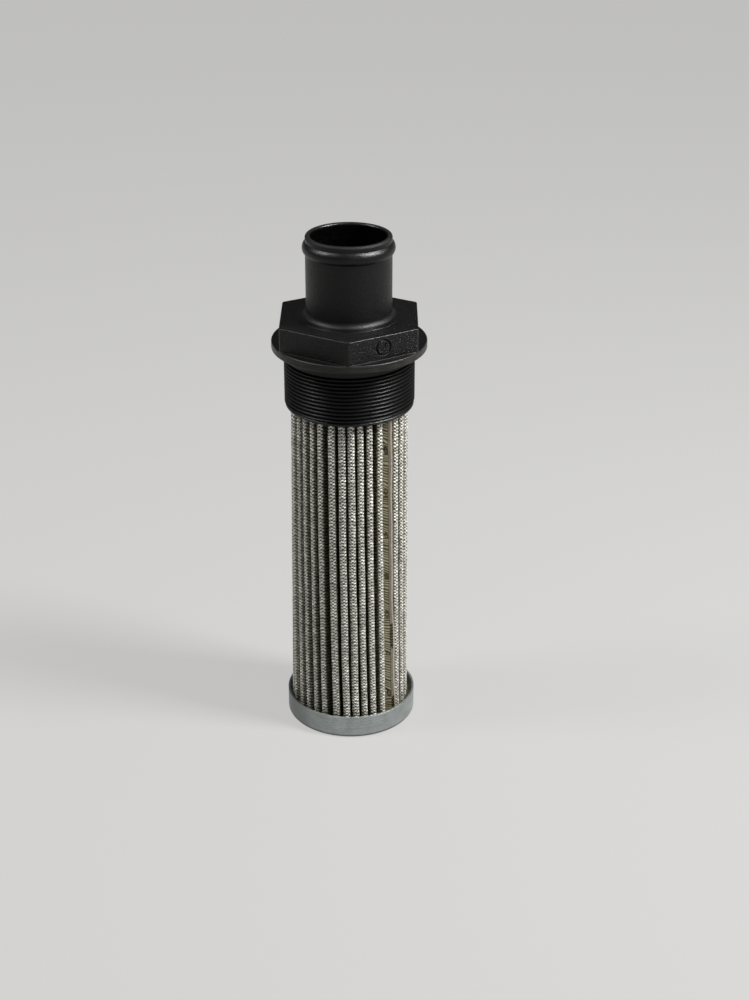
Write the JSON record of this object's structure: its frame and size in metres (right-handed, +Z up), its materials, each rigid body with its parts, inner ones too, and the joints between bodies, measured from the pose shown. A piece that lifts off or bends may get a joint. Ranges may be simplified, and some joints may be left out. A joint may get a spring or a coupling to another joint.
{
  "type": "hydraulic suction strainer",
  "caption": "Pleated wire-cloth suction strainer: black moulded head with beaded hose tail, hexagon, flange and male thread above a pleated steel element closed by a plated cap.",
  "frame": {"origin": "centre of the end cap's flat bottom, on which the strainer stands", "axes": "+Z up along the axis towards the hose tail, -Y towards the front corner of the hexagon"},
  "size_m": [0.059, 0.059, 0.2025],
  "materials": {
    "black_nylon": "fine-grained satin moulding",
    "wire_cloth": "woven stainless wire",
    "seam_steel": "heat-tinted strip",
    "tube_steel": "perforated sheet",
    "plated_steel": "zinc plated, satin",
    "cast_resin": "cast, glossy"
  },
  "bodies": {
    "root": {"end_cap": "plated_steel", "lower_resin": "cast_resin", "support_tube": "tube_steel", "pleated_mesh": "wire_cloth", "seam_strip": "seam_steel", "upper_resin": "cast_resin", "head": "black_nylon"}
  },
  "joints": []
}
